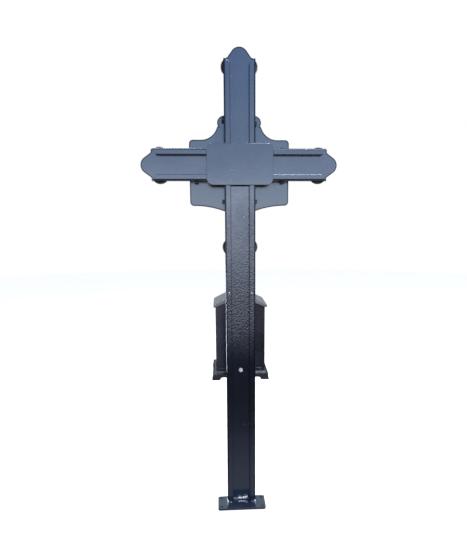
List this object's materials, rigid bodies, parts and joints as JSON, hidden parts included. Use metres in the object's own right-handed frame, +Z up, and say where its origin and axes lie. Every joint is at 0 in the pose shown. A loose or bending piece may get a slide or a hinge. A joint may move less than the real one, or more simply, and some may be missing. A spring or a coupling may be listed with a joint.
{
  "type": "iron grave cross",
  "caption": "Powder-coated iron grave cross on a bolted foot plate, with ogee arm ends, cast rosettes, a blank cartouche board and a gabled grave lantern with a hinged glass door.",
  "frame": {"origin": "middle of the four foot holes, on the underside of the foot plate", "axes": "+Z up, front of the cross (cartouche and lantern) toward -Y, +X to the right seen from the front"},
  "size_m": [0.64, 0.2388, 1.556],
  "materials": {
    "frame_paint": "fine-textured anthracite blue powder coat",
    "cartouche_paint": "fine-textured powder coat, slightly paler",
    "rosette_casting": "painted casting",
    "lantern_paint": "satin grey paint",
    "lantern_enamel": "glossy near-black enamel",
    "door_glass": "clear",
    "zinc": "zinc-plated"
  },
  "bodies": {
    "cross": {"face_plate": "frame_paint", "post_rail_left": "frame_paint", "post_rail_right": "frame_paint", "arm_rail_left_upper": "frame_paint", "arm_rail_left_lower": "frame_paint", "arm_rail_right_upper": "frame_paint", "arm_rail_right_lower": "frame_paint", "rear_cover": "frame_paint", "foot_plate": "frame_paint", "cartouche": "cartouche_paint", "spacer_top": "frame_paint", "spacer_left": "frame_paint", "spacer_right": "frame_paint", "spacer_bottom": "frame_paint", "rosette_top": "rosette_casting", "rosette_left": "rosette_casting", "rosette_right": "rosette_casting", "rosette_post": "rosette_casting", "lantern_base": "lantern_paint", "lantern_case": "lantern_enamel", "lantern_roof": "lantern_paint", "lantern_bolt": "zinc", "lantern_sleeve": "lantern_paint", "lantern_nut": "zinc", "hinge_pin_upper": "zinc", "hinge_pin_lower": "zinc"},
    "door": {"lantern_door": "lantern_paint", "door_glass": "door_glass", "door_knob": "zinc"}
  },
  "joints": [
    {"name": "door_hinge", "type": "hinge", "parent": "cross", "child": "door", "pos_m": [-0.078, -0.1878, 0.6], "axis": [0, 0, -1], "range_deg": [0, 110]}
  ]
}
